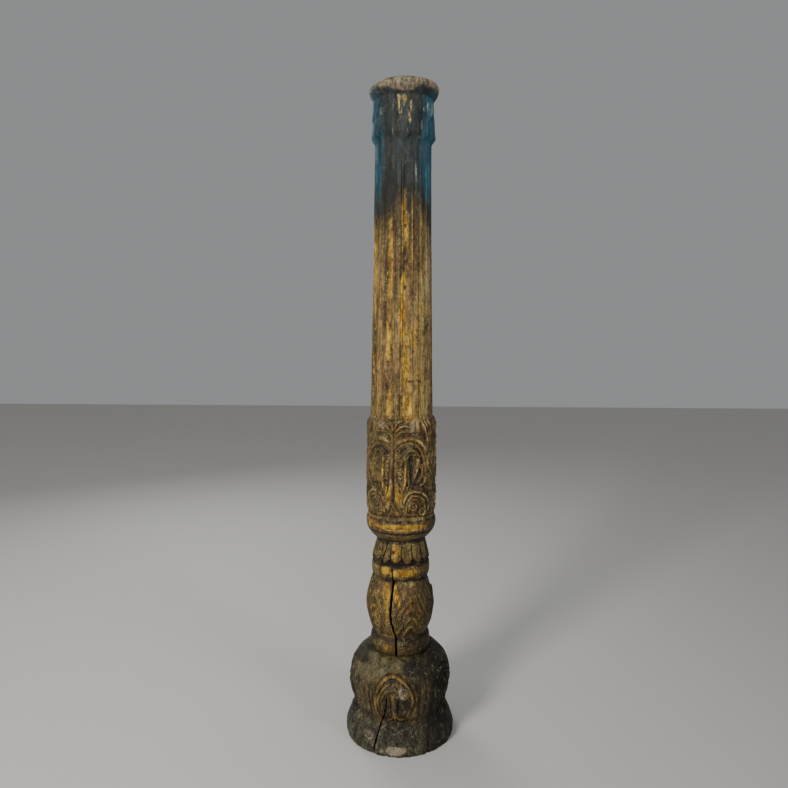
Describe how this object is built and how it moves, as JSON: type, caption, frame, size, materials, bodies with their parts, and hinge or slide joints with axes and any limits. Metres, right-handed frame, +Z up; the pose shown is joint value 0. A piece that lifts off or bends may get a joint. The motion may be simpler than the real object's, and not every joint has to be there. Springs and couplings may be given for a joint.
{
  "type": "carved wooden pillar",
  "caption": "Tall slender carved and gilded wooden pillar: fluted shaft with a leaf collar and round cap, carved sleeve, petal bell and leafy bulb, on a pot-shaped base.",
  "frame": {"origin": "centre of the underside of the base, on the floor", "axes": "+Z up along the pillar, -Y toward the side that the picture shows, +X to that view's right"},
  "size_m": [0.3493, 0.3497, 2],
  "materials": {
    "gilded_brown_wood": "old brown carved wood with worn gold paint on the ridges, blue-grey and black grime near the top, deep drying cracks",
    "dusty_grey_wood": "dark grey-green dusty old wood with traces of gold on the carved medallions, and cracks in the foot"
  },
  "bodies": {
    "root": {"shaft": "gilded_brown_wood", "base": "dusty_grey_wood"}
  },
  "joints": []
}
